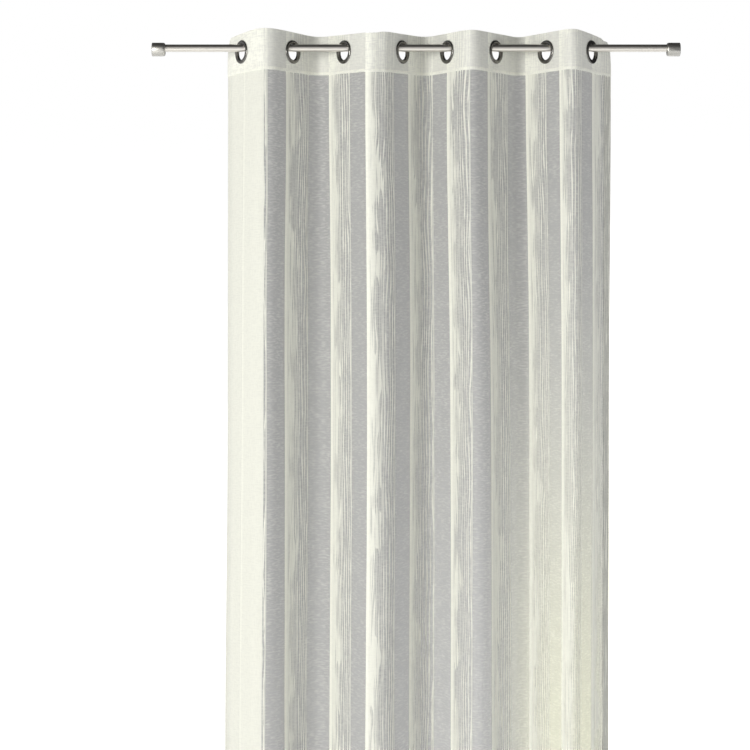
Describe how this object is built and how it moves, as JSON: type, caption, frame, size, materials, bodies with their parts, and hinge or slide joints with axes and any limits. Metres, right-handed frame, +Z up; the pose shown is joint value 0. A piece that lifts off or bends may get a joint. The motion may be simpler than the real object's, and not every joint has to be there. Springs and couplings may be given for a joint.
{
  "type": "sheer voile eyelet curtain on a curtain rod",
  "caption": "Ivory striped sheer voile curtain with a stiffened eyelet heading, hanging in deep even folds from a plain capped steel rod.",
  "frame": {"origin": "on the axis of the rod, midway between the ends of its caps, which is where the brackets hold it", "axes": "+Z up, +X along the rod to the right as one faces the curtain, +Y to the back, towards the window"},
  "size_m": [1.214, 0.1501, 2.461],
  "materials": {
    "voile": "sheer voile with woven ivory streaks",
    "heading_cloth": "doubled, stiffened ivory voile",
    "eyelet_steel": "pressed steel, satin nickel plate",
    "rod_steel": "satin steel"
  },
  "bodies": {
    "root": {"panel": "voile", "heading": "heading_cloth", "eyelet_1": "eyelet_steel", "eyelet_2": "eyelet_steel", "eyelet_3": "eyelet_steel", "eyelet_4": "eyelet_steel", "eyelet_5": "eyelet_steel", "eyelet_6": "eyelet_steel", "eyelet_7": "eyelet_steel", "eyelet_8": "eyelet_steel", "rod": "rod_steel", "cap_left": "rod_steel", "cap_right": "rod_steel"}
  },
  "joints": []
}
